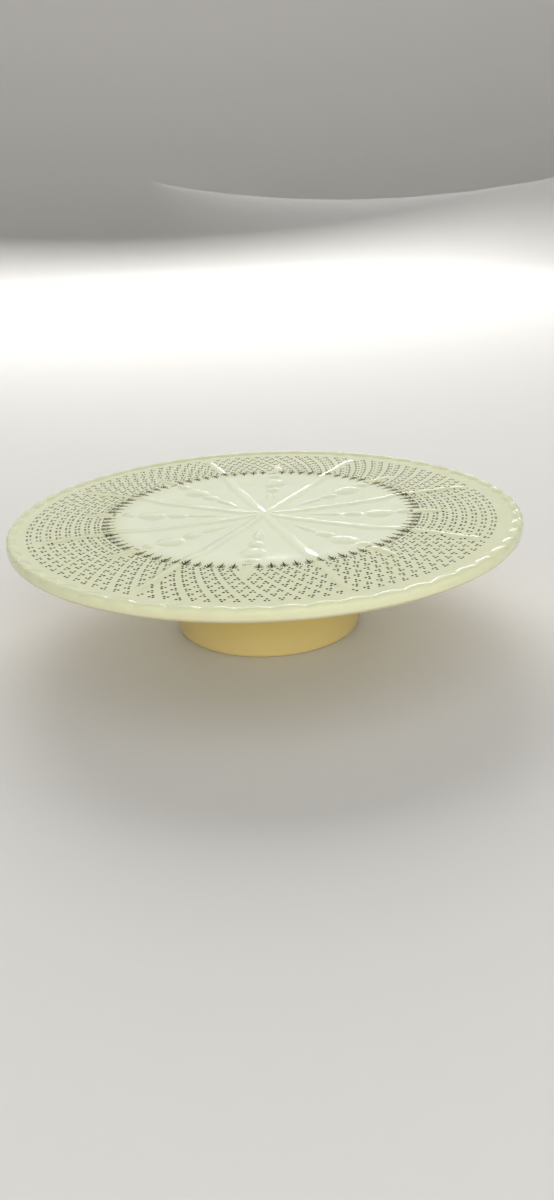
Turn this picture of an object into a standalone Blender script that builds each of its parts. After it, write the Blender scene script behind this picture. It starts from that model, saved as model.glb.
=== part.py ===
"""Low cake stand of pressed opal glass with a fired gilt print.

A 280 mm plate with a 56-petal lip stands on a short hollow drum foot. The plate's top is
pressed with eight ribs and eight rows of drops, and a gilt print of small dots and a
garland of leaves fills the band between the ribs.

Metres, +Z up. The origin is on the table under the plate's centre, and a row of drops
runs straight out along -Y, the front.
"""
import math

import bmesh
import bpy

# Plate
PLATE_RADIUS = 0.140          # to the crests of the lip
LIP_HEIGHT = 0.0652           # top of the lip above the table
WELL_HEIGHT = 0.0631          # flat middle of the plate's top
BAND_HEIGHT = 0.0639          # flat printed band
UNDER_HEIGHT = 0.0572         # flat underside
WELL_RADIUS = 0.063           # where the top starts to rise to the band
BAND_START = 0.0805
BAND_END = 0.1285
PETALS = 56                   # round the lip
PETAL_DEPTH = 0.0006          # crest to valley, outward
PETAL_DROP = 0.0005           # crest to valley, upward
PLATE_SEGMENTS = 2 * PETALS   # a crest and a valley for each petal

# Relief on the plate's top
SECTORS = 8
RIB_START = 0.0045
RIB_END = 0.1232
RIB_WELL_WIDTH = 0.0050
RIB_BAND_WIDTH = 0.0060
RIB_WELL_RISE = 0.0010
RIB_BAND_RISE = 0.0008
HUB_RADIUS = 0.0070
HUB_RISE = 0.0010
ROOT_DEPTH = 0.0008           # how far relief reaches into the plate below its surface
DROP_SEGMENTS = 10

# Each drop of a row, from the hub outward: inner end, outer end and width as shares of
# PLATE_RADIUS, skew, and rise in metres. A skew over 1 puts the widest place outward.
DROPS = (
    (0.168, 0.306, 0.041, 1.7, 0.0009),
    (0.312, 0.387, 0.065, 1.1, 0.0012),
    (0.397, 0.509, 0.104, 1.0, 0.0015),
    (0.521, 0.570, 0.059, 1.0, 0.0010),
    (0.596, 0.738, 0.045, 0.6, 0.0009),
)

# Foot
FOOT_BASE_RADIUS = 0.0523     # just above the rounded toe
FOOT_TOP_RADIUS = 0.0537
TOE_RADIUS = 0.0024
FOOT_WALL = 0.0050
FOOT_DRAFT = 0.0012           # how much the wall thickens towards its top
FOOT_SEGMENTS = 96
JOINT_GAP = 0.0003            # between the foot's top and the plate

# Gilt print, as thin sheets over the band
SHEET_GAP = 0.0003
SHEET_THICKNESS = 0.00015
RIB_CLEARANCE = 0.0005
GARLAND_START = 0.575 * PLATE_RADIUS
GARLAND_END = 0.632 * PLATE_RADIUS
DOTS_START = 0.636 * PLATE_RADIUS
DOTS_END = 0.917 * PLATE_RADIUS
NOTCH_HALF_WIDTH = 0.0037     # room for the outer drop
NOTCH_END = 0.748 * PLATE_RADIUS

FRONT = -math.pi / 2
SECTOR_ANGLE = 2 * math.pi / SECTORS


def clear_objects():
    """Remove whatever the file holds."""
    for old in list(bpy.data.objects):
        bpy.data.objects.remove(old, do_unlink=True)


def make_material(name, colour, roughness, metallic=0.0):
    """A Principled material."""
    material = bpy.data.materials.new(name)
    material.use_nodes = True
    shader = material.node_tree.nodes["Principled BSDF"]
    shader.inputs["Base Color"].default_value = (*colour, 1.0)
    shader.inputs["Roughness"].default_value = roughness
    shader.inputs["Metallic"].default_value = metallic
    return material


def add_object(name, mesh_data, material=None):
    """Link a bmesh as an object with outward faces and, for a real piece, its material."""
    bmesh.ops.recalc_face_normals(mesh_data, faces=mesh_data.faces)
    mesh = bpy.data.meshes.new(name)
    mesh_data.to_mesh(mesh)
    mesh_data.free()
    if material:
        mesh.materials.append(material)
    piece = bpy.data.objects.new(name, mesh)
    bpy.context.scene.collection.objects.link(piece)
    return piece


def mark_as_guide(piece):
    """Keep a Boolean operand out of the finished model."""
    piece.hide_render = True
    piece.display_type = "WIRE"
    return piece


def polar(radius, angle, height):
    """A point from its distance and angle about the plate's axis."""
    return (radius * math.cos(angle), radius * math.sin(angle), height)


def top_height(radius):
    """Height of the plate's plain top between the centre and the lip."""
    share = (radius - WELL_RADIUS) / (BAND_START - WELL_RADIUS)
    return WELL_HEIGHT + (BAND_HEIGHT - WELL_HEIGHT) * min(max(share, 0.0), 1.0)


def skin(mesh_data, loops, cap_first=True, cap_last=True):
    """Join closed loops of vertices of equal count one after another, and cap the ends."""
    count = len(loops[0])
    for lower, upper in zip(loops, loops[1:]):
        for i in range(count):
            j = (i + 1) % count
            mesh_data.faces.new((lower[i], lower[j], upper[j], upper[i]))
    if cap_first:
        mesh_data.faces.new(list(reversed(loops[0])))
    if cap_last:
        mesh_data.faces.new(loops[-1])


def plate_profile():
    """Radius, height and petal share of each ring, from the well over the lip to below."""
    return (
        (WELL_RADIUS, WELL_HEIGHT, 0.0),
        (BAND_START, BAND_HEIGHT, 0.0),
        (BAND_END, BAND_HEIGHT, 0.0),
        (PLATE_RADIUS - 0.0070, BAND_HEIGHT + 0.0003, 0.2),
        (PLATE_RADIUS - 0.0040, LIP_HEIGHT - 0.0003, 0.8),
        (PLATE_RADIUS - 0.0020, LIP_HEIGHT, 1.0),
        (PLATE_RADIUS - 0.0004, LIP_HEIGHT - 0.0008, 1.0),
        (PLATE_RADIUS + 0.0003, LIP_HEIGHT - 0.0028, 0.6),
        (PLATE_RADIUS - 0.0001, UNDER_HEIGHT + 0.0030, 0.0),
        (PLATE_RADIUS - 0.0014, UNDER_HEIGHT + 0.0012, 0.0),
        (PLATE_RADIUS - 0.0040, UNDER_HEIGHT + 0.0002, 0.0),
        (PLATE_RADIUS - 0.0080, UNDER_HEIGHT, 0.0),
    )


def make_plate_blank(material):
    """The plate before its relief: a turned disc whose lip rises and falls in petals."""
    mesh_data = bmesh.new()
    loops = []
    for radius, height, share in plate_profile():
        loop = []
        for i in range(PLATE_SEGMENTS):
            angle = FRONT + SECTOR_ANGLE / 2 + i * 2 * math.pi / PLATE_SEGMENTS
            valley = share * (i % 2)
            place = polar(radius - PETAL_DEPTH * valley, angle, height - PETAL_DROP * valley)
            loop.append(mesh_data.verts.new(place))
        loops.append(loop)
    skin(mesh_data, loops)
    return add_object("plate", mesh_data, material)


def rib_section(radius):
    """Width and rise of a rib at a distance from the plate's axis."""
    if radius < WELL_RADIUS:
        grow = min(radius / 0.020, 1.0)
        return RIB_WELL_WIDTH * (0.45 + 0.55 * grow), RIB_WELL_RISE
    if radius < BAND_START:
        return 0.5 * (RIB_WELL_WIDTH + RIB_BAND_WIDTH), RIB_BAND_RISE
    fade = min((RIB_END - radius) / 0.012, 1.0)
    return RIB_BAND_WIDTH * (0.6 + 0.4 * fade), RIB_BAND_RISE * max(fade, 0.1)


def add_rib(mesh_data, angle):
    """One rounded rib, lofted out from the hub along an angle."""
    stations = (RIB_START, 0.012, 0.024, WELL_RADIUS - 0.001, 0.070, BAND_START, 0.110, RIB_END)
    loops = []
    for radius in stations:
        width, rise = rib_section(radius)
        base = top_height(radius)
        outline = (
            (-width / 2, base - ROOT_DEPTH),
            (-width / 4, base + 0.7 * rise),
            (0.0, base + rise),
            (width / 4, base + 0.7 * rise),
            (width / 2, base - ROOT_DEPTH),
        )
        loop = []
        for aside, height in outline:
            x = radius * math.cos(angle) - aside * math.sin(angle)
            y = radius * math.sin(angle) + aside * math.cos(angle)
            loop.append(mesh_data.verts.new((x, y, height)))
        loops.append(loop)
    skin(mesh_data, loops)


def make_ribs():
    """The eight ribs, on the lines between the rows of drops."""
    mesh_data = bmesh.new()
    for k in range(SECTORS):
        add_rib(mesh_data, FRONT + (k + 0.5) * SECTOR_ANGLE)
    return mark_as_guide(add_object("rib_guide", mesh_data))


def drop_outline(length, width, skew, shrink):
    """Points round a drop's plan, drawn in towards its centre by shrink."""
    points = []
    for i in range(DROP_SEGMENTS):
        turn = 2 * math.pi * i / DROP_SEGMENTS
        share = 0.5 - 0.5 * shrink * math.cos(turn)
        along = share ** (1.0 / skew) * length
        points.append((along, 0.5 * width * shrink * math.sin(turn)))
    return points


def add_drop(mesh_data, angle, drop):
    """One domed drop of a row."""
    inner, outer, width, skew, rise = drop
    start = inner * PLATE_RADIUS
    length = (outer - inner) * PLATE_RADIUS
    base = top_height(start + length / 2)
    loops = []
    for shrink, height in ((1.04, -ROOT_DEPTH), (0.78, 0.55 * rise), (0.36, rise)):
        shrink = min(shrink, 1.0)
        loop = []
        for along, aside in drop_outline(length, width * PLATE_RADIUS, skew, shrink):
            x = (start + along) * math.cos(angle) - aside * math.sin(angle)
            y = (start + along) * math.sin(angle) + aside * math.cos(angle)
            loop.append(mesh_data.verts.new((x, y, base + height)))
        loops.append(loop)
    skin(mesh_data, loops)


def make_drops():
    """The eight rows of drops."""
    mesh_data = bmesh.new()
    for k in range(SECTORS):
        for drop in DROPS:
            add_drop(mesh_data, FRONT + k * SECTOR_ANGLE, drop)
    return mark_as_guide(add_object("drop_guide", mesh_data))


def make_hub():
    """The low boss where the ribs meet."""
    mesh_data = bmesh.new()
    bmesh.ops.create_cone(
        mesh_data, cap_ends=True, segments=2 * SECTORS, radius1=HUB_RADIUS,
        radius2=0.4 * HUB_RADIUS, depth=HUB_RISE + ROOT_DEPTH)
    lift = WELL_HEIGHT + (HUB_RISE - ROOT_DEPTH) / 2
    bmesh.ops.translate(mesh_data, verts=mesh_data.verts, vec=(0.0, 0.0, lift))
    return mark_as_guide(add_object("hub_guide", mesh_data))


def make_plate(material):
    """The pressed plate: the blank with its relief united to it."""
    plate = make_plate_blank(material)
    for guide in (make_ribs(), make_hub(), make_drops()):
        union = plate.modifiers.new(guide.name, "BOOLEAN")
        union.operation = "UNION"
        union.solver = "EXACT"
        union.object = guide
    return plate


def foot_profile():
    """Section of the foot's wall: down its outer side, under the toe and up inside."""
    top = UNDER_HEIGHT - JOINT_GAP
    points = [(FOOT_TOP_RADIUS, top)]
    toe_centre = FOOT_BASE_RADIUS - TOE_RADIUS
    for i in range(5):
        turn = i * math.pi / 8
        radius = toe_centre + TOE_RADIUS * math.cos(turn)
        points.append((radius, TOE_RADIUS * (1.0 - math.sin(turn))))
    inner = FOOT_BASE_RADIUS - FOOT_WALL
    points.append((inner + 0.0004, 0.0))
    points.append((inner, 0.0008))
    points.append((FOOT_TOP_RADIUS - FOOT_WALL - FOOT_DRAFT, top))
    return points


def make_foot(material):
    """The hollow drum foot, turned from its wall's section."""
    mesh = bpy.data.meshes.new("foot")
    points = [(radius, 0.0, height) for radius, height in foot_profile()]
    edges = [(i, (i + 1) % len(points)) for i in range(len(points))]
    mesh.from_pydata(points, edges, [])
    mesh.materials.append(material)
    foot = bpy.data.objects.new("foot", mesh)
    bpy.context.scene.collection.objects.link(foot)
    turn = foot.modifiers.new("turn", "SCREW")
    turn.angle = 2 * math.pi
    turn.steps = FOOT_SEGMENTS
    turn.render_steps = FOOT_SEGMENTS
    turn.use_merge_vertices = True
    turn.merge_threshold = 0.00001
    return foot


def make_sheet(name, plan, material):
    """A thin closed sheet over the band from its plan, a list of x and y."""
    mesh_data = bmesh.new()
    bottom = BAND_HEIGHT + SHEET_GAP
    face = mesh_data.faces.new([mesh_data.verts.new((x, y, bottom)) for x, y in plan])
    grown = bmesh.ops.extrude_face_region(mesh_data, geom=[face])["geom"]
    raised = [item for item in grown if isinstance(item, bmesh.types.BMVert)]
    bmesh.ops.translate(mesh_data, verts=raised, vec=(0.0, 0.0, SHEET_THICKNESS))
    return add_object(name, mesh_data, material)


def arc(radius, start, end, steps):
    """Points along an arc about the plate's axis."""
    return [polar(radius, start + (end - start) * i / steps, 0.0)[:2] for i in range(steps + 1)]


def rib_margin(radius):
    """Angle from a rib's middle to the print beside it."""
    return math.asin((RIB_BAND_WIDTH / 2 + RIB_CLEARANCE) / radius)


def notch_margin(radius):
    """Angle from a drop row's middle to the print beside it."""
    return math.asin(NOTCH_HALF_WIDTH / radius)


def make_dot_sheet(k, material):
    """The field of dots between two ribs, notched for the outer drop."""
    middle = FRONT + k * SECTOR_ANGLE
    inner_reach = SECTOR_ANGLE / 2 - rib_margin(DOTS_START)
    outer_reach = SECTOR_ANGLE / 2 - rib_margin(DOTS_END)
    notch = notch_margin(DOTS_START)
    plan = arc(DOTS_END, middle - outer_reach, middle + outer_reach, 12)
    plan += arc(DOTS_START, middle + inner_reach, middle + notch, 5)
    plan += arc(NOTCH_END, middle + 0.5 * notch, middle - 0.5 * notch, 1)
    plan += arc(DOTS_START, middle - notch, middle - inner_reach, 5)
    return make_sheet("gilt_dots_%d" % (k + 1), plan, material)


def make_garland_sheet(k, side, material):
    """The run of leaves between a rib and a row of drops."""
    middle = FRONT + k * SECTOR_ANGLE
    plan = []
    for radius, step in ((GARLAND_END, 1), (GARLAND_START, -1)):
        near = middle + side * notch_margin(radius)
        far = middle + side * (SECTOR_ANGLE / 2 - rib_margin(radius))
        plan += arc(radius, near, far, 5)[::step]
    number = 2 * k + (1 if side < 0 else 2)
    return make_sheet("gilt_garland_%d" % number, plan, material)


def main():
    """Build every piece."""
    clear_objects()
    plate_glass = make_material("plate_glass", (0.66, 0.70, 0.52), 0.12)
    foot_glass = make_material("foot_glass", (0.62, 0.52, 0.24), 0.16)
    dot_gilt = make_material("dot_gilt", (0.24, 0.19, 0.09), 0.40, 0.8)
    leaf_gilt = make_material("leaf_gilt", (0.20, 0.15, 0.07), 0.42, 0.8)
    make_plate(plate_glass)
    make_foot(foot_glass)
    for k in range(SECTORS):
        make_dot_sheet(k, dot_gilt)
        make_garland_sheet(k, -1, leaf_gilt)
        make_garland_sheet(k, 1, leaf_gilt)


main()
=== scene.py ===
"""Low cake stand of pressed opal glass with a fired gilt print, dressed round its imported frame.

The stand has a wide plate with a petalled lip, a hollow drum foot fused under it, eight
fields of gilt dots and sixteen runs of gilt sprigs. Everything is in metres, +Z up, with
the origin on the table under the plate's centre and -Y at the front.
"""
import logging
import math
from dataclasses import dataclass
from enum import Enum

import bmesh
import bpy
import numpy as np
from mathutils import Matrix, Vector


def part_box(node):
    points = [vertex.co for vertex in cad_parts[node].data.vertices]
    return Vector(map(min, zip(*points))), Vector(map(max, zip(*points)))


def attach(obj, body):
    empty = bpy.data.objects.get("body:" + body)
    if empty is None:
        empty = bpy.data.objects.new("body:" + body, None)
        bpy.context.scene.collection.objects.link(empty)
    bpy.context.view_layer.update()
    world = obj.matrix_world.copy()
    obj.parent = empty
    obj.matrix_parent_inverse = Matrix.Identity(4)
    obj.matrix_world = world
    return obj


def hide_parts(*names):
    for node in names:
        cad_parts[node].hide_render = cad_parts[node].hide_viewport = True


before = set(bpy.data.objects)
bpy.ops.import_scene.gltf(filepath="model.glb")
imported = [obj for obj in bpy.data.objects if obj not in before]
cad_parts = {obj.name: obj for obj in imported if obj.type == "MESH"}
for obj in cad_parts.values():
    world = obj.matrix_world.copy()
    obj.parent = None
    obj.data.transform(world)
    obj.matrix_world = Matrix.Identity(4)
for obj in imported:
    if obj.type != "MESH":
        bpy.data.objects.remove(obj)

LOG = logging.getLogger("cake_stand")
MM = 0.001
TURN = 2.0 * math.pi
FRONT = -0.25 * TURN
SECTORS = 8
SECTOR_ANGLE = TURN / SECTORS
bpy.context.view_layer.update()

Point = tuple[float, float]
Colour = tuple[float, float, float]
Socket = bpy.types.NodeSocket
Piece = bpy.types.Object
Material = bpy.types.Material


class Side(Enum):
    """Which side of a row of drops a run of sprigs lies on, seen from the hub."""

    CLOCKWISE = -1
    ANTICLOCKWISE = 1


class Softness(Enum):
    """A light's width and height in metres: the larger, the softer."""

    WALL = (2.4, 1.2)
    BROAD = (1.7, 1.7)
    STRIP = (2.2, 0.12)


class Role(Enum):
    """What a light does: it shades every surface, or it shows only as a gleam on polished ones."""

    SHADING = "shading"
    GLEAM = "gleam"


# ---- Node and mesh helpers ----


class TreeSketch:
    """Short calls for adding nodes to a tree and joining them."""

    def __init__(self, tree: bpy.types.NodeTree) -> None:
        """Keep the tree.

        Args:
            tree: The tree that the nodes go in.
        """
        self.tree = tree

    def node(self, kind: str, inputs: dict | None = None, **settings: object) -> bpy.types.Node:
        """Add a node.

        Args:
            kind: The node's type name.
            inputs: What goes in each input, by its name or number: a socket or a value.
            settings: The node's own properties.

        Returns:
            The new node.
        """
        made = self.tree.nodes.new(kind)
        for name, value in settings.items():
            setattr(made, name, value)
        for key, value in (inputs or {}).items():
            self.feed(made.inputs[key], value)
        return made

    def feed(self, target: Socket, value: object) -> None:
        """Join a socket to an input, or set the input's value.

        Args:
            target: The input.
            value: An output socket, or a plain value.
        """
        if isinstance(value, Socket):
            self.tree.links.new(value, target)
        else:
            target.default_value = value

    def math(self, operation: str, *values: object) -> Socket:
        """Add a Math node.

        Args:
            operation: Its operation, such as ADD.
            values: Its inputs in order, each a socket or a number.

        Returns:
            Its output.
        """
        made = self.tree.nodes.new("ShaderNodeMath")
        made.operation = operation
        for target, value in zip(made.inputs, values):
            self.feed(target, value)
        return made.outputs[0]

    def add(self, first: object, second: object) -> Socket:
        """The sum of two sockets or numbers."""
        return self.math("ADD", first, second)

    def times(self, first: object, second: object) -> Socket:
        """The product of two sockets or numbers."""
        return self.math("MULTIPLY", first, second)

    def minus(self, first: object, second: object) -> Socket:
        """The difference of two sockets or numbers."""
        return self.math("SUBTRACT", first, second)

    def ramp(self, value: object, low: float, high: float) -> Socket:
        """A smooth step from 0 at low to 1 at high."""
        made = self.node("ShaderNodeMapRange", {"Value": value, "From Min": low, "From Max": high})
        made.interpolation_type = "SMOOTHSTEP"
        return made.outputs["Result"]

    def noise(self, place: object, scale: float, detail: float = 2.0) -> Socket:
        """A noise texture's value at a place."""
        inputs = {"Vector": place, "Scale": scale, "Detail": detail}
        return self.node("ShaderNodeTexNoise", inputs).outputs[0]

    def blend(self, share: object, first: object, second: object) -> Socket:
        """Mix two colours.

        Args:
            share: How much of the second, from 0 to 1.
            first: A colour socket or value.
            second: A colour socket or value.

        Returns:
            The mixed colour.
        """
        made = self.node("ShaderNodeMix", data_type="RGBA")
        for number, value in ((0, share), (6, first), (7, second)):
            if isinstance(value, tuple):
                value = (*value, 1.0)
            self.feed(made.inputs[number], value)
        return made.outputs[2]


def smooth_run(points: list[Point], steps: int) -> np.ndarray:
    """Sample a smooth curve through points.

    Args:
        points: Radius and height of each point, in metres.
        steps: How many samples each span between two points gets.

    Returns:
        The samples, one row each, the last point included.
    """
    knots = np.array([points[0], *points, points[-1]])
    share = np.linspace(0.0, 1.0, steps, endpoint=False)[:, None]
    spans = []
    for before, start, end, after in zip(knots, knots[1:], knots[2:], knots[3:]):
        bend = 2.0 * before - 5.0 * start + 4.0 * end - after
        twist = 3.0 * (start - end) + after - before
        spans.append(start + 0.5 * share * (end - before + share * (bend + share * twist)))
    return np.concatenate([*spans, knots[-1:]])


def ring_points(away: np.ndarray | float, angle: np.ndarray, level: np.ndarray | float) -> np.ndarray:
    """A ring of points from its distances from the axis, its angles and its heights."""
    level = np.broadcast_to(level, angle.shape)
    return np.stack([away * np.cos(angle), away * np.sin(angle), level], axis=1)


def turned_shell(name: str, rings: list[np.ndarray], closed: bool) -> Piece:
    """Skin rings of points into a closed shell.

    Neighbouring rings hold equal numbers of points, or one holds twice the other's.

    Args:
        name: The object's name.
        rings: The rings in order, each an array of x, y and z.
        closed: Whether the last ring joins the first. Otherwise both ends get a pole.

    Returns:
        The new object, smooth-shaded, with its faces outward.
    """
    starts = np.cumsum([0] + [len(ring) for ring in rings])
    points = [np.concatenate(rings)]
    faces: list[tuple[int, ...]] = []
    pairs = list(zip(range(len(rings) - 1), range(1, len(rings))))
    if closed:
        pairs.append((len(rings) - 1, 0))
    for one, other in pairs:
        fine, coarse = (one, other) if len(rings[one]) >= len(rings[other]) else (other, one)
        faces += ring_faces(starts[coarse], len(rings[coarse]), starts[fine], len(rings[fine]))
    if not closed:
        for ring, pole in ((0, int(starts[-1])), (len(rings) - 1, int(starts[-1]) + 1)):
            count = len(rings[ring])
            points.append(rings[ring].mean(axis=0)[None, :])
            faces += [(pole, starts[ring] + i, starts[ring] + (i + 1) % count) for i in range(count)]
    mesh = bpy.data.meshes.new(name)
    mesh.from_pydata(np.concatenate(points).tolist(), [], [tuple(map(int, f)) for f in faces])
    edit = bmesh.new()
    edit.from_mesh(mesh)
    bpy.data.meshes.remove(mesh)
    return finish_mesh(name, edit)


def ring_faces(inner: int, inner_count: int, outer: int, outer_count: int) -> list[tuple[int, ...]]:
    """Faces between two rings.

    Args:
        inner: Number of the coarser ring's first point.
        inner_count: How many points it holds.
        outer: Number of the finer ring's first point.
        outer_count: How many points it holds, the same or twice as many.

    Returns:
        The faces, each a tuple of point numbers.
    """
    faces: list[tuple[int, ...]] = []
    for i in range(inner_count):
        j = (i + 1) % inner_count
        if inner_count == outer_count:
            faces.append((inner + i, inner + j, outer + j, outer + i))
            continue
        left, middle, right = (outer + (2 * i + k) % outer_count for k in range(3))
        faces.append((inner + i, middle, left))
        faces.append((inner + i, inner + j, middle))
        faces.append((inner + j, right, middle))
    return faces


def finish_mesh(name: str, edit: bmesh.types.BMesh) -> Piece:
    """Turn a closed mesh's faces outward, shade it smooth and link it as an object.

    Args:
        name: The object's name.
        edit: The mesh, which is freed.

    Returns:
        The new object.
    """
    bmesh.ops.recalc_face_normals(edit, faces=edit.faces)
    mesh = bpy.data.meshes.new(name)
    edit.to_mesh(mesh)
    edit.free()
    mesh.shade_smooth()
    piece = bpy.data.objects.new(name, mesh)
    bpy.context.scene.collection.objects.link(piece)
    return piece


def settle(piece: Piece, nodes: list[str]) -> None:
    """Put a finished piece on the frame and report it.

    Args:
        piece: The piece, in its final place.
        nodes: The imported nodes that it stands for.
    """
    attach(piece, "root")
    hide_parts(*nodes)
    LOG.info("%s: %d faces, stands for %s", piece.name, len(piece.data.polygons), ", ".join(nodes))


# ---- Finishes ----


def start_material(name: str) -> tuple[Material, TreeSketch, bpy.types.Node]:
    """Start a material, and return it with a sketch of its tree and its Principled node."""
    material = bpy.data.materials.new(name)
    material.use_nodes = True
    return material, TreeSketch(material.node_tree), material.node_tree.nodes["Principled BSDF"]


@dataclass(frozen=True)
class OpalGlass:
    """Fire-polished opal glass: milky and cool in reflected light, with a painted amber glow low down
    that stands for light coming through the shaded glass, and a painted sheen over the middle.

    Attributes:
        name: The material's name.
        upper_colour: Colour above the painted glow: the plate's milk where it is thick and lit from
            above, and on the foot the painted shade under the plate.
        painted_sheen: Painted sheen, the whiter colour of the middle that stands for the bright
            reflection across the well.
        sheen_radius: How far from the axis the painted sheen reaches.
        streak: Colour of the pale streaks in it.
        painted_glow: Painted glow, the amber colour low down that stands for light coming through the
            glass where it is shaded.
        painted_glow_low: Height at which the painted glow is full.
        painted_glow_high: Height at which the painted glow is gone.
        roughness: Mean roughness of the polished surface.
        glow: Subsurface weight.
    """

    name: str
    upper_colour: Colour
    painted_sheen: Colour
    sheen_radius: float
    streak: Colour
    painted_glow: Colour
    painted_glow_low: float
    painted_glow_high: float
    roughness: float
    glow: float

    def make(self) -> Material:
        """Build the material.

        Returns:
            A Principled material on Object coordinates.
        """
        material, sketch, shader = start_material(self.name)
        place = sketch.node("ShaderNodeTexCoord").outputs["Object"]
        self.colour(sketch, shader, place)
        self.surface(sketch, shader, place)
        shader.inputs["IOR"].default_value = 1.51
        shader.inputs["Subsurface Weight"].default_value = self.glow
        shader.inputs["Subsurface Scale"].default_value = 0.004
        shader.inputs["Subsurface Radius"].default_value = (1.0, 0.8, 0.35)
        return material

    def colour(self, sketch: TreeSketch, shader: bpy.types.Node, place: Socket) -> None:
        """Cloudy colour over a painted amber glow low down, with a painted sheen over the middle and
        seeds and stones.

        Args:
            sketch: The material's tree.
            shader: Its Principled node.
            place: Object coordinates.
        """
        split = sketch.node("ShaderNodeSeparateXYZ", {0: place}).outputs
        height = split["Z"]
        reach = sketch.math("SQRT", sketch.add(
            sketch.times(split["X"], split["X"]), sketch.times(split["Y"], split["Y"])))
        # Painted sheen: inside the middle's radius the colour turns whiter, standing for the bright
        # reflection across the well, and the painted glow is kept out there.
        inner = sketch.minus(
            1.0, sketch.ramp(reach, self.sheen_radius - 0.006, self.sheen_radius + 0.006))
        upper_colour = sketch.blend(inner, self.upper_colour, self.painted_sheen)
        # Painted glow: lower down the colour blends into the amber glow colour, which stands for light
        # coming through the glass where it is shaded.
        drift = sketch.times(sketch.minus(sketch.noise(place, 14.0, 3.0), 0.5), 0.006)
        lift = sketch.math(
            "MAXIMUM", inner,
            sketch.ramp(sketch.add(height, drift), self.painted_glow_low, self.painted_glow_high))
        body = sketch.blend(lift, self.painted_glow, upper_colour)
        pale = sketch.times(sketch.ramp(sketch.noise(place, 38.0, 5.0), 0.42, 0.72), 0.10)
        body = sketch.blend(pale, body, self.streak)
        seeds = sketch.node("ShaderNodeTexVoronoi", {"Vector": place, "Scale": 210.0})
        rare = sketch.ramp(sketch.noise(place, 60.0), 0.60, 0.70)
        near = sketch.minus(1.0, sketch.ramp(seeds.outputs["Distance"], 0.03, 0.09))
        speck = sketch.times(sketch.times(near, rare), 0.45)
        body = sketch.blend(speck, body, (0.22, 0.17, 0.09))
        sketch.feed(shader.inputs["Base Color"], body)

    def surface(self, sketch: TreeSketch, shader: bpy.types.Node, place: Socket) -> None:
        """Handling smears in the polish, and the faint orange-peel left by the mould.

        Args:
            sketch: The material's tree.
            shader: Its Principled node.
            place: Object coordinates.
        """
        smear = sketch.times(sketch.ramp(sketch.noise(place, 22.0, 6.0), 0.35, 0.75), 0.10)
        sketch.feed(shader.inputs["Roughness"], sketch.add(smear, self.roughness))
        chill = sketch.times(sketch.noise(place, 480.0, 3.0), 0.12)
        relief = sketch.add(sketch.noise(place, 120.0), chill)
        bump = sketch.node("ShaderNodeBump", {"Strength": 0.35, "Distance": 0.0002, "Height": relief})
        sketch.feed(shader.inputs["Normal"], bump.outputs["Normal"])


@dataclass(frozen=True)
class FiredGilt:
    """Gilt fired onto glass and long tarnished, with each mark worn by its own amount.

    Attributes:
        name: The material's name.
        dark: Colour of the tarnish.
        worn: Colour of the most worn marks.
        roughness: Mean roughness.
    """

    name: str
    dark: Colour
    worn: Colour
    roughness: float

    def make(self) -> Material:
        """Build the material.

        Returns:
            A Principled material on Object coordinates and the marks' wear attribute.
        """
        material, sketch, shader = start_material(self.name)
        place = sketch.node("ShaderNodeTexCoord").outputs["Object"]
        wear = sketch.node("ShaderNodeAttribute", attribute_name="wear").outputs["Fac"]
        grain = sketch.noise(place, 2600.0, 4.0)
        patch = sketch.ramp(grain, 0.30, 0.72)
        share = sketch.add(sketch.times(wear, 0.7), sketch.times(patch, 0.3))
        sketch.feed(shader.inputs["Base Color"], sketch.blend(share, self.dark, self.worn))
        sketch.feed(shader.inputs["Roughness"], sketch.add(sketch.times(patch, 0.2), self.roughness))
        bump = sketch.node("ShaderNodeBump", {"Strength": 0.5, "Distance": 0.00005, "Height": grain})
        sketch.feed(shader.inputs["Normal"], bump.outputs["Normal"])
        shader.inputs["Metallic"].default_value = 0.25
        shader.inputs["Specular IOR Level"].default_value = 0.10
        return material


@dataclass(frozen=True)
class StudioPaint:
    """The matt pale surface of the floor and its upturned edge."""

    name: str
    colour: Colour

    def make(self) -> Material:
        """Build the material.

        Returns:
            A plain rough material.
        """
        material, _, shader = start_material(self.name)
        shader.inputs["Base Color"].default_value = (*self.colour, 1.0)
        shader.inputs["Roughness"].default_value = 0.85
        return material


# The plate's amber low on the wall and underside is a painted glow, and its whiter middle a painted
# sheen.
PLATE_GLASS = OpalGlass(
    name="plate opal glass", upper_colour=(0.68, 0.705, 0.48), painted_sheen=(0.75, 0.79, 0.61),
    sheen_radius=0.080, streak=(0.76, 0.78, 0.60), painted_glow=(0.67, 0.58, 0.35),
    painted_glow_low=0.0555, painted_glow_high=0.0640, roughness=0.12, glow=0.40)
# The foot's colours are painted light: its amber stands for light coming through the shaded glass, and
# its upper colour, darker towards the top, is the painted shade under the plate.
FOOT_GLASS = OpalGlass(
    name="foot opal glass", upper_colour=(0.60, 0.445, 0.100), painted_sheen=(0.60, 0.445, 0.100),
    sheen_radius=0.020, streak=(0.66, 0.53, 0.20), painted_glow=(0.67, 0.53, 0.22),
    painted_glow_low=0.000, painted_glow_high=0.040, roughness=0.14, glow=0.40)
DOT_GILT = FiredGilt("dot gilt", (0.030, 0.032, 0.008), (0.110, 0.108, 0.038), 0.75)
SPRIG_GILT = FiredGilt("sprig gilt", (0.060, 0.054, 0.018), (0.170, 0.148, 0.064), 0.75)
FLOOR_PAINT = StudioPaint("studio floor", (0.70, 0.69, 0.67))


# ---- Glass ----


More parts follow.
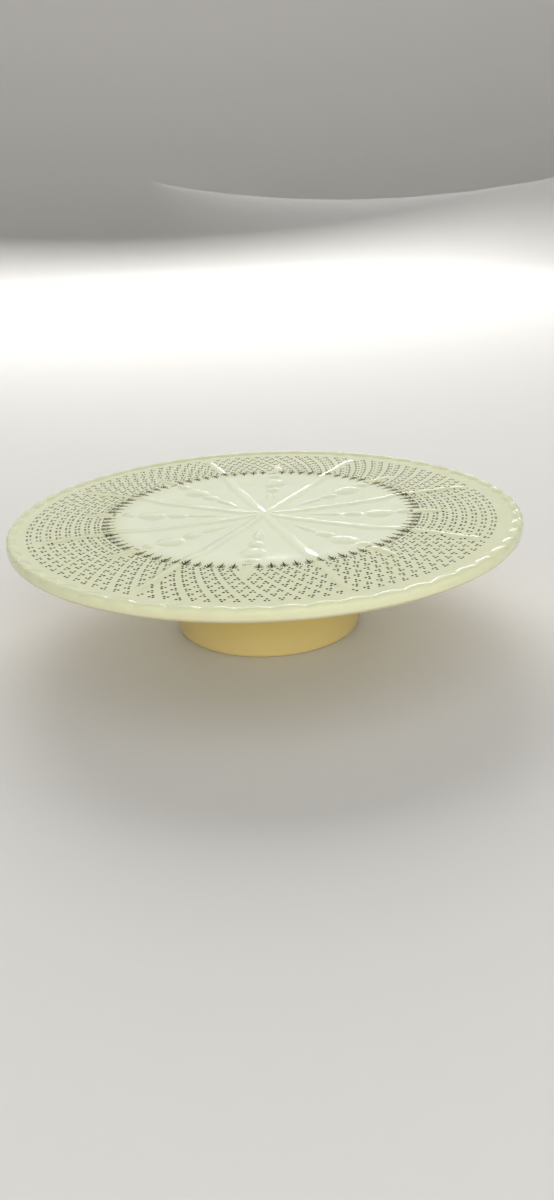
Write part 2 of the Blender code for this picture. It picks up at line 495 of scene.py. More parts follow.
@dataclass(frozen=True)
class PressedDrop:
    """One domed drop of a row.

    Attributes:
        inner: Its inner end, as a share of the plate's radius.
        outer: Its outer end, the same way.
        width: Its greatest width, the same way.
        skew: Over 1, the widest place moves outward. Under 1, it moves inward.
        rise: Its height, in metres.
        edge: How soft its foot is. Larger is softer.
    """

    inner: float
    outer: float
    width: float
    skew: float
    rise: float
    edge: float

    def relief(self, along: np.ndarray, aside: np.ndarray) -> np.ndarray:
        """Height of the drop over the plate.

        Args:
            along: Distance out along the row, as a share of the plate's radius.
            aside: Distance from the row's middle, the same way.

        Returns:
            The height at each place, in metres, 0 outside the drop.
        """
        share = np.clip((along - self.inner) / (self.outer - self.inner), 0.0, 1.0)
        bulge = 1.0 - (2.0 * share ** self.skew - 1.0) ** 2
        half = 0.5 * self.width * np.sqrt(np.maximum(bulge, 1e-6))
        across = 1.0 - (aside / half) ** 2
        return self.rise * np.maximum(across, 0.0) ** self.edge * np.maximum(bulge, 0.0) ** 0.7


@dataclass
class OpalPlate:
    """The pressed plate: well, ribs, drops, printed band, petalled lip, wall and underside."""

    radius: float
    lip_height: float
    band_height: float
    under_height: float
    well_drop: float = 0.8 * MM
    well_radius: float = 61.0 * MM
    band_start: float = 80.5 * MM
    band_end: float = 129.0 * MM
    crown_rise: float = 0.6 * MM
    crown_radius: float = 86.0 * MM
    crown_spread: float = 24.0 * MM
    hub_rise: float = 1.0 * MM
    hub_spread: float = 12.5 * MM
    rib_rise: float = 0.78 * MM
    rib_half_width: float = 4.3 * MM
    rib_end: float = 126.0 * MM
    rib_fade: float = 9.0 * MM
    rib_root: float = 24.0 * MM
    ripple: float = 0.03 * MM
    petals: int = 56
    seam_height: float = 60.0 * MM
    drops: tuple[PressedDrop, ...] = (
        PressedDrop(0.168, 0.306, 0.041, 1.7, 0.9 * MM, 1.3),
        PressedDrop(0.312, 0.387, 0.065, 1.1, 1.3 * MM, 1.2),
        PressedDrop(0.397, 0.509, 0.104, 1.0, 1.7 * MM, 1.2),
        PressedDrop(0.521, 0.570, 0.059, 1.0, 1.1 * MM, 1.2),
        PressedDrop(0.596, 0.738, 0.045, 0.6, 0.8 * MM, 1.3),
    )

    def height(self, radius: np.ndarray, angle: np.ndarray) -> np.ndarray:
        """Height of the plate's top inside the lip.

        Args:
            radius: Distance from the axis.
            angle: Angle about it.

        Returns:
            The height at each place.
        """
        share = np.clip((radius - self.well_radius) / (self.band_start - self.well_radius), 0, 1)
        step = share * share * (3.0 - 2.0 * share)
        plain = self.band_height - self.well_drop * (1.0 - step)
        crown = self.crown_rise * np.exp(-((radius - self.crown_radius) / self.crown_spread) ** 2)
        hub = self.hub_rise * np.exp(-(radius / self.hub_spread) ** 2)
        ripple = self.ripple * np.sin(3.0 * angle + 90.0 * radius) * np.sin(140.0 * radius + 1.0)
        return plain + step * crown + hub + ripple + self.ribs(radius, angle) + self.rows(radius, angle)

    def ribs(self, radius: np.ndarray, angle: np.ndarray) -> np.ndarray:
        """Height of the ribs, which meet at the hub and fade out before the lip."""
        total = np.zeros_like(radius)
        fade = np.clip((self.rib_end - radius) / self.rib_fade, 0.0, 1.0)
        grow = np.clip(radius / self.rib_root, 0.0, 1.0)
        half = self.rib_half_width * (0.62 + 0.38 * grow)
        for k in range(SECTORS):
            off = np.angle(np.exp(1j * (angle - FRONT - (k + 0.5) * SECTOR_ANGLE)))
            aside = np.abs(radius * np.sin(off)) / half
            ridge = np.clip(1.0 - aside ** 2, 0.0, 1.0) ** 2
            total += np.where(np.abs(off) < 0.25 * TURN, ridge ** 3, 0.0)
        ridge = np.minimum(total, 1.0) ** (1.0 / 3.0)
        return self.rib_rise * ridge * fade * fade * (3.0 - 2.0 * fade) * (0.5 + 0.5 * grow)

    def rows(self, radius: np.ndarray, angle: np.ndarray) -> np.ndarray:
        """Height of the eight rows of drops."""
        off = np.mod(angle - FRONT + 0.5 * SECTOR_ANGLE, SECTOR_ANGLE) - 0.5 * SECTOR_ANGLE
        along = radius * np.cos(off) / self.radius
        aside = radius * np.sin(off) / self.radius
        return sum(drop.relief(along, aside) for drop in self.drops)

    def top_rings(self) -> list[np.ndarray]:
        """Rings of points over the well and band, closest together where there is relief.

        Returns:
            The rings, from the hub outward.
        """
        # Each span's first and last radius, its rings, and the points in each of them. The
        # points gather towards the ribs and the rows of drops, and are even at the band's end.
        spans = (
            (0.8 * MM, 5.0 * MM, 5, 140),
            (5.8 * MM, 15.2 * MM, 10, 280),
            (16.0 * MM, 80.0 * MM, 62, 560),
            (81.3 * MM, self.band_end, 32, 560),
        )
        rings = []
        for start, end, count, points in spans:
            for radius in np.linspace(start, end, count):
                turn = TURN * np.arange(points) / points
                gather = 0.5 * np.clip((self.band_end - radius) / (12.0 * MM), 0.0, 1.0)
                turn = turn - gather * np.sin(2 * SECTORS * turn) / (2 * SECTORS)
                angle = FRONT + 0.5 * SECTOR_ANGLE + turn
                level = self.height(np.full(points, radius), angle)
                rings.append(ring_points(radius, angle, level))
        return rings

    def edge_sections(self) -> tuple[np.ndarray, np.ndarray]:
        """Sections over the lip and down the wall, through a petal's crest and a groove.

        Returns:
            The crest's section and the groove's, as equal runs of radius and height.
        """
        rim, top, band, under = self.radius, self.lip_height, self.band_height, self.under_height
        crest = [
            (self.band_end + 0.8 * MM, band),
            (rim - 8.4 * MM, band + 0.02 * MM),
            (rim - 6.6 * MM, band + 0.12 * MM),
            (rim - 5.4 * MM, band + 0.58 * MM),
            (rim - 4.2 * MM, top - 0.22 * MM),
            (rim - 2.8 * MM, top - 0.03 * MM),
            (rim - 1.3 * MM, top - 0.20 * MM),
            (rim - 0.35 * MM, top - 0.95 * MM),
            (rim, top - 2.0 * MM),
            (rim + 0.05 * MM, top - 3.2 * MM),
        ]
        groove = [
            (self.band_end + 0.8 * MM, band),
            (rim - 7.6 * MM, band + 0.01 * MM),
            (rim - 4.9 * MM, band + 0.07 * MM),
            (rim - 3.8 * MM, band + 0.22 * MM),
            (rim - 2.9 * MM, band + 0.48 * MM),
            (rim - 2.2 * MM, top - 0.64 * MM),
            (rim - 1.5 * MM, top - 0.80 * MM),
            (rim - 0.85 * MM, top - 1.30 * MM),
            (rim - 0.40 * MM, top - 2.2 * MM),
            (rim - 0.15 * MM, top - 3.2 * MM),
        ]
        wall = [
            (rim - 0.02 * MM, self.seam_height + 0.45 * MM),
            (rim - 0.04 * MM, self.seam_height),
            (rim - 0.34 * MM, self.seam_height - 0.5 * MM),
            (rim - 1.2 * MM, under + 1.35 * MM),
            (rim - 2.6 * MM, under + 0.50 * MM),
            (rim - 4.8 * MM, under + 0.12 * MM),
            (rim - 7.5 * MM, under),
        ]
        return smooth_run(crest + wall, 2), smooth_run(groove + wall, 2)

    def edge_rings(self) -> list[np.ndarray]:
        """Rings over the petals and down the wall, with each petal's depth a little different.

        Returns:
            The rings, from the band outward and down.
        """
        crest, groove = self.edge_sections()
        hand = np.random.default_rng(7)
        depth = 0.85 + 0.3 * hand.random(self.petals)
        rings = []
        fine = 20 * self.petals
        petals_end = self.seam_height + 1.5 * MM
        for one, other in zip(crest, groove):
            points = fine if one[1] > petals_end else fine // 2
            turn = np.arange(points) / points
            phase = np.mod(turn * self.petals + 0.5, 1.0) - 0.5
            near = np.floor(turn * self.petals).astype(int) % self.petals
            share = (1.0 - np.cos(math.pi * phase)) * depth[near]
            away = one[0] + (other[0] - one[0]) * share
            level = one[1] + (other[1] - one[1]) * share
            angle = FRONT + 0.5 * SECTOR_ANGLE + TURN * turn
            rings.append(ring_points(away, angle, level))
        return rings

    def under_rings(self) -> list[np.ndarray]:
        """Rings across the flat underside.

        Returns:
            The rings, from the wall inward.
        """
        points = 5 * self.petals
        angle = FRONT + 0.5 * SECTOR_ANGLE + TURN * np.arange(points) / points
        radii = np.linspace(125.0 * MM, 3.0 * MM, 15)
        return [ring_points(radius, angle, self.under_height) for radius in radii]

    def build(self) -> Piece:
        """Make the plate and give it its glass.

        Returns:
            The finished piece.
        """
        rings = self.top_rings() + self.edge_rings() + self.under_rings()
        plate = turned_shell("opal_plate", rings, closed=False)
        plate.data.materials.append(PLATE_GLASS.make())
        settle(plate, ["plate"])
        return plate


@dataclass
class DrumFoot:
    """The hollow drum foot: a drafted wall with a rounded toe and a fused, filleted top."""

    top_radius: float
    plate_under: float
    base_radius: float = 52.3 * MM
    wall: float = 5.0 * MM
    segments: int = 288

    def section(self) -> np.ndarray:
        """The wall's section: down outside, under the toe and up inside.

        Returns:
            A closed run of radius and height.
        """
        seat = self.plate_under - 0.03 * MM
        top, base = self.top_radius, self.base_radius
        inner = base - self.wall
        outside = [
            (top + 3.4 * MM, seat),
            (top + 1.6 * MM, seat - 0.55 * MM),
            (top + 0.5 * MM, seat - 1.8 * MM),
            (top - 0.1 * MM, seat - 4.0 * MM),
            (top - 0.25 * MM, 0.72 * seat),
            (0.5 * (top + base), 0.36 * seat),
            (base + 0.25 * MM, 8.0 * MM),
            (base, 3.6 * MM),
            (base - 0.5 * MM, 1.5 * MM),
            (base - 1.3 * MM, 0.45 * MM),
            (base - 2.3 * MM, 0.03 * MM),
        ]
        inside = [
            (base - 3.0 * MM, 0.0),
            (inner + 0.7 * MM, 0.02 * MM),
            (inner + 0.15 * MM, 0.5 * MM),
            (inner, 1.6 * MM),
            (inner + 0.1 * MM, 0.3 * seat),
            (inner, 0.7 * seat),
            (inner - 0.5 * MM, seat - 4.5 * MM),
            (inner - 1.6 * MM, seat - 1.6 * MM),
            (inner - 4.2 * MM, seat),
        ]
        return smooth_run(outside + inside, 3)

    def build(self) -> Piece:
        """Make the foot and give it its glass.

        Returns:
            The finished piece.
        """
        angle = TURN * np.arange(self.segments) / self.segments
        rings = [ring_points(radius, angle, height) for radius, height in self.section()]
        foot = turned_shell("drum_foot", rings, closed=True)
        foot.data.materials.append(FOOT_GLASS.make())
        settle(foot, ["foot"])
        return foot


# ---- Gilt print ----


@dataclass
class PrintLayout:
    """Where the gilt print lies on the plate.

    Attributes:
        plate: The plate that it lies on.
        turn: How far the print is turned against the relief.
        shift: How far the print's centre is from the plate's.
    """

    plate: OpalPlate
    turn: float = math.radians(0.5)
    shift: Point = (-1.7 * MM, -0.2 * MM)


class PrintTree:
    """A Geometry Nodes tree that lays copies of a small mark on the glass."""

    def __init__(self, name: str, layout: PrintLayout, own: dict[str, tuple[str, object]]) -> None:
        """Start the tree and its inputs.

        Args:
            name: The tree's name.
            layout: Where the print lies.
            own: Each input that only this tree has, with its kind, such as Float, and its value.
        """
        inputs = {
            "Mark": ("Object", None),
            "Glass": ("Object", None),
            "Gilt": ("Material", None),
            "Sector": ("Int", 0),
            "Print Turn": ("Float", layout.turn),
            "Shift X": ("Float", layout.shift[0]),
            "Shift Y": ("Float", layout.shift[1]),
            "Seed": ("Int", 0),
            **own,
        }
        self.tree = bpy.data.node_groups.new(name, "GeometryNodeTree")
        self.tree.interface.new_socket("Geometry", in_out="OUTPUT", socket_type="NodeSocketGeometry")
        self.identifiers = {}
        for label, (kind, value) in inputs.items():
            made = self.tree.interface.new_socket(
                label, in_out="INPUT", socket_type="NodeSocket" + kind)
            if value is not None:
                made.default_value = value
            self.identifiers[label] = made.identifier
        self.sketch = TreeSketch(self.tree)
        self.given = self.sketch.node("NodeGroupInput").outputs

    def spot(self, angle: object, radius: object) -> tuple[Socket, Socket]:
        """Where a mark falls on the plate, with the print's own shift.

        Args:
            angle: Its angle about the print's centre.
            radius: Its distance from that centre.

        Returns:
            Its x and y.
        """
        sketch, given = self.sketch, self.given
        x = sketch.add(sketch.times(radius, sketch.math("COSINE", angle)), given["Shift X"])
        y = sketch.add(sketch.times(radius, sketch.math("SINE", angle)), given["Shift Y"])
        return x, y

    def marks(self, label: str, angle: object, radius: object, points: object,
              keep: object = None) -> Socket:
        """Lay copies of one mark flat, turned to face the hub, each worn by its own amount.

        Args:
            label: The tree's input that holds the mark.
            angle: Each copy's angle about the print's centre.
            radius: Its distance from that centre.
            points: The points that carry the copies.
            keep: 1 where a copy is printed. Without it, all are.

        Returns:
            The realized copies.
        """
        sketch, given = self.sketch, self.given
        x, y = self.spot(angle, radius)
        place = sketch.node("ShaderNodeCombineXYZ", {0: x, 1: y, 2: 0.0}).outputs[0]
        placed = sketch.node("GeometryNodeSetPosition", {"Geometry": points, "Position": place})
        carriers = placed.outputs[0]
        if keep is not None:
            miss = sketch.math("LESS_THAN", keep, 0.5)
            carriers = sketch.node(
                "GeometryNodeDeleteGeometry", {"Geometry": carriers, "Selection": miss},
                domain="POINT").outputs[0]
        inward = sketch.add(angle, 0.25 * TURN)
        turned = sketch.node("ShaderNodeCombineXYZ", {2: inward}).outputs[0]
        size = sketch.node("FunctionNodeRandomValue", {2: 0.90, 3: 1.08, 8: given["Seed"]})
        mark = sketch.node("GeometryNodeObjectInfo", {"Object": given[label]})
        laid = sketch.node(
            "GeometryNodeInstanceOnPoints",
            {"Points": carriers, "Instance": mark.outputs["Geometry"],
             "Rotation": turned, "Scale": size.outputs[1]})
        worn = sketch.node(
            "FunctionNodeRandomValue", {2: 0.0, 3: 1.0, 8: sketch.add(given["Seed"], 31.0)})
        stored = sketch.node(
            "GeometryNodeStoreNamedAttribute",
            {"Geometry": laid.outputs[0], "Name": "wear", "Value": worn.outputs[1]},
            data_type="FLOAT", domain="INSTANCE")
        return sketch.node("GeometryNodeRealizeInstances", {0: stored.outputs[0]}).outputs[0]

    def finish(self, *marks: Socket) -> None:
        """Finish the tree: join the marks, drape them over the glass and dress them.

        Args:
            marks: Each kind of realized mark.
        """
        sketch, given = self.sketch, self.given
        joined = sketch.node("GeometryNodeJoinGeometry")
        for kind in marks:
            self.tree.links.new(kind, joined.inputs[0])
        real = sketch.node("GeometryNodeRealizeInstances", {0: joined.outputs[0]})
        draped = self.drape(real.outputs[0])
        dressed = sketch.node(
            "GeometryNodeSetMaterial", {"Geometry": draped, "Material": given["Gilt"]})
        sketch.node("NodeGroupOutput", {0: dressed.outputs[0]})

    def drape(self, marks: Socket) -> Socket:
        """Lift every point of the marks by the height of the glass under it.

        Args:
            marks: The realized marks, lying at height 0.

        Returns:
            The draped marks.
        """
        sketch, given = self.sketch, self.given
        glass = sketch.node("GeometryNodeObjectInfo", {"Object": given["Glass"]})
        here = sketch.node("GeometryNodeInputPosition").outputs[0]
        above = sketch.node(
            "ShaderNodeVectorMath", {0: here, 1: (0.0, 0.0, 0.2)}, operation="ADD")
        ray = sketch.node(
            "GeometryNodeRaycast",
            {"Target Geometry": glass.outputs["Geometry"], "Source Position": above.outputs[0],
             "Ray Direction": (0.0, 0.0, -1.0), "Ray Length": 0.3})
        ground = sketch.node("ShaderNodeSeparateXYZ", {0: ray.outputs["Hit Position"]})
        lift = sketch.node("ShaderNodeCombineXYZ", {2: ground.outputs["Z"]}).outputs[0]
        moved = sketch.node("GeometryNodeSetPosition", {"Geometry": marks, "Offset": lift})
        return moved.outputs[0]

    def run(self, name: str, values: dict[str, object]) -> Piece:
        """Run the tree and keep its result as a plain mesh.

        Args:
            name: The new object's name.
            values: What goes in the tree's inputs, by their names.

        Returns:
            The object, with no modifier.
        """
        carrier = bpy.data.objects.new(name, bpy.data.meshes.new(name))
        bpy.context.scene.collection.objects.link(carrier)
        modifier = carrier.modifiers.new(name, "NODES")
        modifier.node_group = self.tree
        for label, value in values.items():
            modifier[self.identifiers[label]] = value
        graph = bpy.context.evaluated_depsgraph_get()
        result = bpy.data.meshes.new_from_object(carrier.evaluated_get(graph), depsgraph=graph)
        carrier.modifiers.clear()
        carrier.data = result
        result.name = name
        result.shade_smooth()
        return carrier


@dataclass
class GiltDots:
    """Eight fields of three-dot clusters, in rings, between the ribs."""

    layout: PrintLayout
    glass: Piece
    rings: int = 8
    clusters: int = 15
    outer_ring: float = 0.903
    ring_pitch: float = 0.0367
    dot_radius: float = 0.67 * MM
    dot_rise: float = 0.09 * MM
    pair_gap: float = 1.94 * MM
    third_reach: float = 1.9 * MM
    rib_clearance: float = 2.3 * MM
    drop_clearance: float = 3.7 * MM
    drop_end: float = 0.748
    drop_taper: float = 0.10

    def dot(self) -> Piece:
        """One low dome with a closed base, sunk a little into the glass.

        Returns:
            The template object.
        """
        edit = bmesh.new()
        sides = 12
        angle = TURN * np.arange(sides) / sides
        loops = []
        for share, level in ((1.0, -0.5), (0.92, 0.45), (0.55, 0.88)):
            ring = ring_points(share * self.dot_radius, angle, level * self.dot_rise)
            loops.append([edit.verts.new(point) for point in ring])
        for lower, upper in zip(loops, loops[1:]):
            for i in range(sides):
                j = (i + 1) % sides
                edit.faces.new((lower[i], lower[j], upper[j], upper[i]))
        edit.faces.new(list(reversed(loops[0])))
        peak = edit.verts.new((0.0, 0.0, self.dot_rise))
        for i in range(sides):
            edit.faces.new((loops[-1][i], loops[-1][(i + 1) % sides], peak))
        return finish_mesh("gilt_dot", edit)

    def tree(self) -> PrintTree:
        """The tree that fills one sector with dots.

        Returns:
            The tree, whose Sector input says which sector it fills.
        """
        rim = self.layout.plate.radius
        made = PrintTree("gilt dot field", self.layout, {
            "Rings": ("Int", self.rings),
            "Clusters": ("Int", self.clusters),
            "Outer Ring": ("Float", self.outer_ring * rim),
            "Ring Pitch": ("Float", self.ring_pitch * rim),
            "Pair Gap": ("Float", self.pair_gap),
            "Third Reach": ("Float", self.third_reach),
            "Rib Clearance": ("Float", self.rib_clearance),
            "Drop Clearance": ("Float", self.drop_clearance),
            "Drop End": ("Float", self.drop_end * rim),
            "Drop Taper": ("Float", self.drop_taper * rim),
        })
        sketch, given = made.sketch, made.given
        add, times, minus = sketch.add, sketch.times, sketch.minus
        across = add(given["Clusters"], 4.0)
        count = times(times(across, given["Rings"]), 3.0)
        points = sketch.node("GeometryNodePoints", {"Count": count}).outputs[0]
        index = sketch.node("GeometryNodeInputIndex").outputs[0]
        dot = sketch.math("MODULO", index, 3.0)
        group = sketch.math("FLOOR", sketch.math("DIVIDE", index, 3.0))
        ring = sketch.math("FLOOR", sketch.math("DIVIDE", add(group, 0.01), across))
        cluster = minus(group, times(ring, across))
        middle = sketch.math("FLOOR", times(across, 0.5))
        step = sketch.math("DIVIDE", SECTOR_ANGLE, given["Clusters"])
        pairs = sketch.math("FLOOR", times(ring, 0.5))
        local = minus(cluster, middle)
        odd_ring = minus(ring, times(pairs, 2.0))
        number = add(add(local, pairs), times(given["Sector"], given["Clusters"]))
        up = sketch.math("FLOORED_MODULO", number, 2.0)
        lone = sketch.math("GREATER_THAN", dot, 1.5)
        aside = times(times(minus(dot, 0.5), given["Pair Gap"]), minus(1.0, lone))
        outward = times(minus(1.0, times(lone, 2.0)), minus(1.0, times(up, 2.0)))
        ring_radius = minus(given["Outer Ring"], times(ring, given["Ring Pitch"]))
        radius = add(ring_radius, times(outward, times(given["Third Reach"], 0.5)))
        offset = minus(times(local, step), times(odd_ring, times(step, 0.5)))
        offset = add(add(offset, sketch.math("DIVIDE", aside, ring_radius)), given["Print Turn"])
        row = add(times(given["Sector"], SECTOR_ANGLE), FRONT)
        angle = add(offset, row)
        x, y = made.spot(angle, radius)
        along = add(times(x, sketch.math("COSINE", row)), times(y, sketch.math("SINE", row)))
        aside = minus(times(y, sketch.math("COSINE", row)), times(x, sketch.math("SINE", row)))
        away = sketch.math("ABSOLUTE", aside)
        half = 0.5 * SECTOR_ANGLE
        from_rib = minus(times(along, math.sin(half)), times(away, math.cos(half)))
        clear_rib = sketch.math("GREATER_THAN", from_rib, given["Rib Clearance"])
        left = sketch.math("DIVIDE", minus(given["Drop End"], along), given["Drop Taper"])
        need = times(sketch.math("MINIMUM", left, 1.0), given["Drop Clearance"])
        clear_drop = sketch.math("GREATER_THAN", away, need)
        keep = times(clear_rib, clear_drop)
        made.finish(made.marks("Mark", angle, radius, points, keep))
        return made

    def build(self) -> list[Piece]:
        """Make the eight fields.

        Returns:
            The finished pieces.
        """
        dot = self.dot()
        tree = self.tree()
        gilt = DOT_GILT.make()
        fields = []
        for k in range(SECTORS):
            name = "dot_field_%d" % (k + 1)
            given = {"Mark": dot, "Glass": self.glass, "Gilt": gilt, "Sector": k, "Seed": 11 + k}
            field_piece = tree.run(name, given)
            settle(field_piece, ["gilt_dots_%d" % (k + 1)])
            fields.append(field_piece)
        bpy.data.objects.remove(dot, do_unlink=True)
        return fields


@dataclass(frozen=True)
class Leaf:
    """One leaf of a sprig, swept along a bent line.

    Attributes:
        start: Its base, in metres across and towards the hub.
        bend: The point that its line bends towards.
        end: Its tip.
        width: Its greatest width.
        rise: Height of its midrib.
    """

    start: Point
    bend: Point
    end: Point
    width: float
    rise: float

    def add_to(self, edit: bmesh.types.BMesh, steps: int = 6) -> None:
        """Add the leaf to a mesh as a closed, ridged blade.

        Args:
            edit: The mesh.
            steps: How many stretches its length has.
        """
        sections = []
        for i in range(steps + 1):
            t = i / steps
            place = Vector(self.start) * (1 - t) ** 2 + Vector(self.bend) * 2 * t * (1 - t) \
                + Vector(self.end) * t * t
            way = (Vector(self.bend) - Vector(self.start)) * (1 - t) \
                + (Vector(self.end) - Vector(self.bend)) * t
            side = Vector((-way.y, way.x)).normalized()
            half = 0.5 * self.width * max(math.sin(math.pi * (0.08 + 0.86 * t) ** 0.8), 0.12)
            row = []
            for share, level in ((-1.0, -0.4), (0.0, 1.0), (1.0, -0.4)):
                spot = place + side * half * share
                row.append(edit.verts.new((spot.x, spot.y, level * self.rise)))
            sections.append(row)
        for near, far in zip(sections, sections[1:]):
            for i in range(3):
                j = (i + 1) % 3
                edit.faces.new((near[i], near[j], far[j], far[i]))
        edit.faces.new(list(reversed(sections[0])))
        edit.faces.new(sections[-1])


@dataclass
class GiltGarland:
    """Sixteen runs of sprigs on a beaded line, and a small mark at each row of drops."""

    layout: PrintLayout
    glass: Piece
    places: int = 11
    sprigs: int = 5
    ring: float = 0.604
    dash_ring: float = 0.590
    dash_gap: float = 1.15 * MM

    def sprig(self) -> Piece:
        """One sprig: a tall blade, two pairs of side leaves and its stretch of beads.

        Returns:
            The template object.
        """
        edit = bmesh.new()
        Leaf((0, -3.6 * MM), (0, 0), (0, 4.1 * MM), 1.55 * MM, 0.16 * MM).add_to(edit, 8)
        for side in (-1, 1):
            Leaf((0.1 * side * MM, -2.7 * MM), (1.5 * side * MM, -1.9 * MM),
                 (2.25 * side * MM, 0.1 * MM), 1.05 * MM, 0.12 * MM).add_to(edit)
            Leaf((0.1 * side * MM, -0.8 * MM), (1.0 * side * MM, -0.2 * MM),
                 (1.45 * side * MM, 1.5 * MM), 0.85 * MM, 0.10 * MM).add_to(edit)
            for away in (1.45, 2.35):
                Leaf((away * side * MM, -3.2 * MM), (away * side * MM, -2.8 * MM),
                     (away * side * MM, -2.3 * MM), 0.75 * MM, 0.09 * MM).add_to(edit, 3)
        return finish_mesh("gilt_sprig", edit)

    def dash(self) -> Piece:
        """One short stroke of the mark at a row of drops.

        Returns:
            The template object.
        """
        edit = bmesh.new()
        Leaf((0, -0.9 * MM), (0, 0), (0, 0.9 * MM), 0.8 * MM, 0.10 * MM).add_to(edit, 4)
        return finish_mesh("gilt_dash", edit)

    def tree(self) -> PrintTree:
        """The tree that lays one run of sprigs.

        Returns:
            The tree, whose Sector and Side inputs say which run it lays.
        """
        rim = self.layout.plate.radius
        made = PrintTree("gilt garland run", self.layout, {
            "Side": ("Int", 1),
            "Dash": ("Object", None),
            "Dash Ring": ("Float", self.dash_ring * rim),
            "Dash Gap": ("Float", self.dash_gap),
            "Sprigs": ("Int", self.sprigs),
            "Places": ("Int", self.places),
            "Ring": ("Float", self.ring * rim),
        })
        sketch, given = made.sketch, made.given
        add, times = sketch.add, sketch.times
        points = sketch.node("GeometryNodePoints", {"Count": given["Sprigs"]}).outputs[0]
        index = sketch.node("GeometryNodeInputIndex").outputs[0]
        step = sketch.math("DIVIDE", SECTOR_ANGLE, given["Places"])
        middle = add(add(times(given["Sector"], SECTOR_ANGLE), FRONT), given["Print Turn"])
        reach = times(times(add(index, 1.0), step), given["Side"])
        sprigs = made.marks("Mark", add(middle, reach), given["Ring"], points)
        pair = sketch.node("GeometryNodePoints", {"Count": 2}).outputs[0]
        spread = sketch.math("DIVIDE", given["Dash Gap"], given["Dash Ring"])
        reach = times(times(add(index, 0.5), spread), given["Side"])
        dashes = made.marks("Dash", add(middle, reach), given["Dash Ring"], pair)
        made.finish(sprigs, dashes)
        return made

    def build(self) -> list[Piece]:
        """Make the sixteen runs.

        Returns:
            The finished pieces.
        """
        sprig = self.sprig()
        dash = self.dash()
        tree = self.tree()
        gilt = SPRIG_GILT.make()
        runs = []
        for k in range(SECTORS):
            for side in Side:
                number = 2 * k + (1 if side is Side.CLOCKWISE else 2)
                run = tree.run("garland_run_%d" % number, {
                    "Mark": sprig, "Dash": dash, "Glass": self.glass, "Gilt": gilt,
                    "Sector": k, "Side": side.value, "Seed": 40 + number})
                settle(run, ["gilt_garland_%d" % number])
                runs.append(run)
        for template in (sprig, dash):
            bpy.data.objects.remove(template, do_unlink=True)
        return runs


# ---- Studio ----


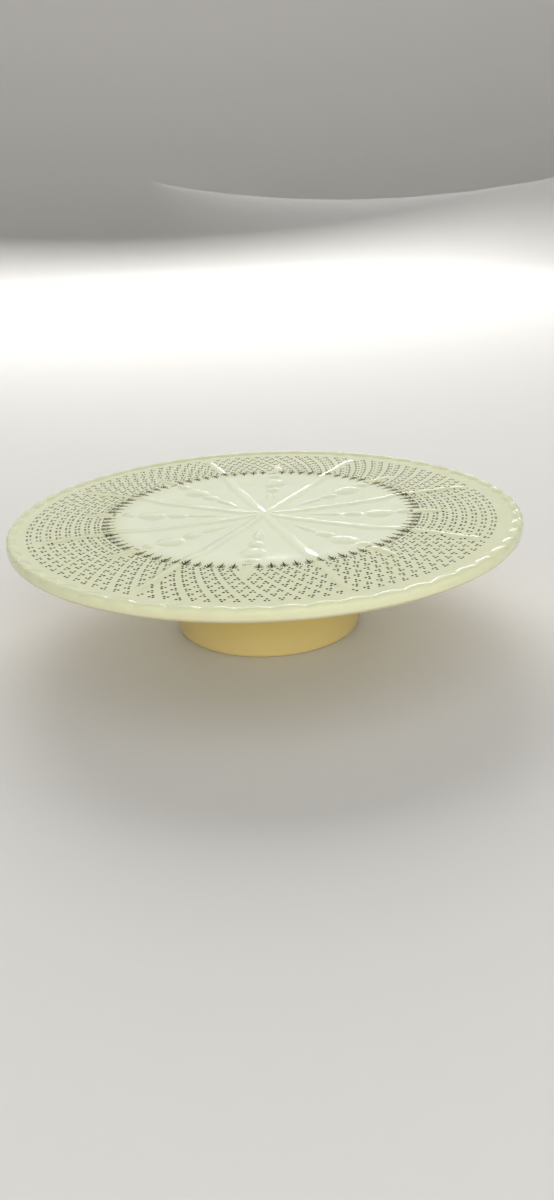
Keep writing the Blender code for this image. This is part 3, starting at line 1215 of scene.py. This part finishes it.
@dataclass
class Studio:
    """A pale floor that turns up into a wall all round, soft lights and the camera."""

    floor_radius: float = 2.4
    cove_radius: float = 0.8
    wall_height: float = 2.6
    azimuth: float = math.radians(5.98)
    elevation: float = math.radians(23.25)
    distance: float = 0.5894
    yaw: float = math.radians(-0.488)
    pitch: float = math.radians(1.085)
    roll: float = math.radians(2.642)
    lens: float = 30.55

    def floor(self) -> None:
        """Lay the floor with its upturned edge."""
        section = [(self.floor_radius * share, 0.0) for share in (0.05, 0.4, 0.8, 1.0)]
        steps = 12
        for i in range(1, steps + 1):
            turn = 0.25 * TURN * i / steps
            section.append((
                self.floor_radius + self.cove_radius * math.sin(turn),
                self.cove_radius * (1.0 - math.cos(turn))))
        section.append((self.floor_radius + self.cove_radius, self.wall_height))
        count = 96
        angle = TURN * np.arange(count) / count
        rings = [ring_points(radius, angle, height) for radius, height in section]
        points = np.concatenate([np.zeros((1, 3)), *rings]).tolist()
        faces = [(0, 1 + i, 1 + (i + 1) % count) for i in range(count)]
        for k in range(len(section) - 1):
            faces += ring_faces(1 + (k + 1) * count, count, 1 + k * count, count)
        mesh = bpy.data.meshes.new("studio_floor")
        mesh.from_pydata(points, [], faces)
        mesh.shade_smooth()
        mesh.materials.append(FLOOR_PAINT.make())
        floor = bpy.data.objects.new("studio_floor", mesh)
        bpy.context.scene.collection.objects.link(floor)

    def light(self, name: str, place: Vector, power: float, size: Softness, role: Role) -> None:
        """Add one soft light, aimed at the plate and unseen by the camera.

        Args:
            name: The light's name.
            place: Where it hangs.
            power: Its power in watts.
            size: How soft it is.
            role: Whether it shades or gleams.
        """
        data = bpy.data.lights.new(name, "AREA")
        data.shape = "RECTANGLE"
        data.size, data.size_y = size.value
        data.energy = power
        data.color = (1.0, 0.995, 0.98)
        lamp = bpy.data.objects.new(name, data)
        lamp.location = place
        lamp.rotation_euler = (Vector((0, 0, 0.05)) - place).to_track_quat("-Z", "Y").to_euler()
        lamp.visible_camera = False
        lamp.visible_diffuse = role is Role.SHADING
        lamp.visible_glossy = role is Role.GLEAM
        bpy.context.scene.collection.objects.link(lamp)

    def lights(self) -> None:
        """Hang the lights: shading from behind, above and in front, and three gleams."""
        self.light("back key", Vector((-0.40, 2.1, 1.25)), 62.0, Softness.BROAD, Role.SHADING)
        self.light("above", Vector((0.35, -0.45, 1.15)), 6.0, Softness.BROAD, Role.SHADING)
        self.light("front fill", Vector((0.4, -2.0, 0.45)), 34.0, Softness.BROAD, Role.SHADING)
        self.light("window gleam", Vector((-0.5, 2.6, 1.0)), 2.5, Softness.WALL, Role.GLEAM)
        self.light("low gleam", Vector((0.1, 2.9, 0.20)), 10.0, Softness.STRIP, Role.GLEAM)
        self.light("front gleam", Vector((0.9, -2.2, 0.8)), 3.0, Softness.WALL, Role.GLEAM)
        world = bpy.data.worlds.new("studio air")
        world.use_nodes = True
        world.node_tree.nodes["Background"].inputs["Color"].default_value = (0.98, 0.98, 0.96, 1.0)
        world.node_tree.nodes["Background"].inputs["Strength"].default_value = 0.14
        bpy.context.scene.world = world

    def camera(self) -> None:
        """Place the camera in front of the stand, looking down a little."""
        spin = Matrix.Rotation
        look = spin(self.azimuth, 4, "Z") @ spin(0.25 * TURN - self.elevation, 4, "X")
        away = Matrix.Translation((0.0, 0.0, self.distance))
        aim = spin(self.yaw, 4, "Y") @ spin(self.pitch, 4, "X") @ spin(-self.roll, 4, "Z")
        data = bpy.data.cameras.new("camera")
        data.sensor_width = 36.0
        data.lens = self.lens
        data.clip_start = 0.01
        camera = bpy.data.objects.new("camera", data)
        camera.matrix_world = look @ away @ aim
        bpy.context.scene.collection.objects.link(camera)
        bpy.context.scene.camera = camera

    def build(self) -> None:
        """Set up the whole studio, with colours shown as they are."""
        bpy.context.scene.view_settings.view_transform = "Standard"
        self.floor()
        self.lights()
        self.camera()


def main() -> None:
    """Build the stand and its studio in order."""
    logging.basicConfig(level=logging.INFO, format="%(name)s: %(message)s")
    plate_low, plate_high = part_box("plate")
    _, foot_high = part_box("foot")
    sheet_low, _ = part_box("gilt_dots_1")
    sheet_gap = 0.3 * MM
    Studio().build()
    plate = OpalPlate(plate_high[0], plate_high[2], sheet_low[2] - sheet_gap, plate_low[2])
    glass = plate.build()
    DrumFoot(foot_high[0], plate_low[2]).build()
    layout = PrintLayout(plate)
    GiltDots(layout, glass).build()
    GiltGarland(layout, glass).build()


if __name__ == "__main__":
    main()
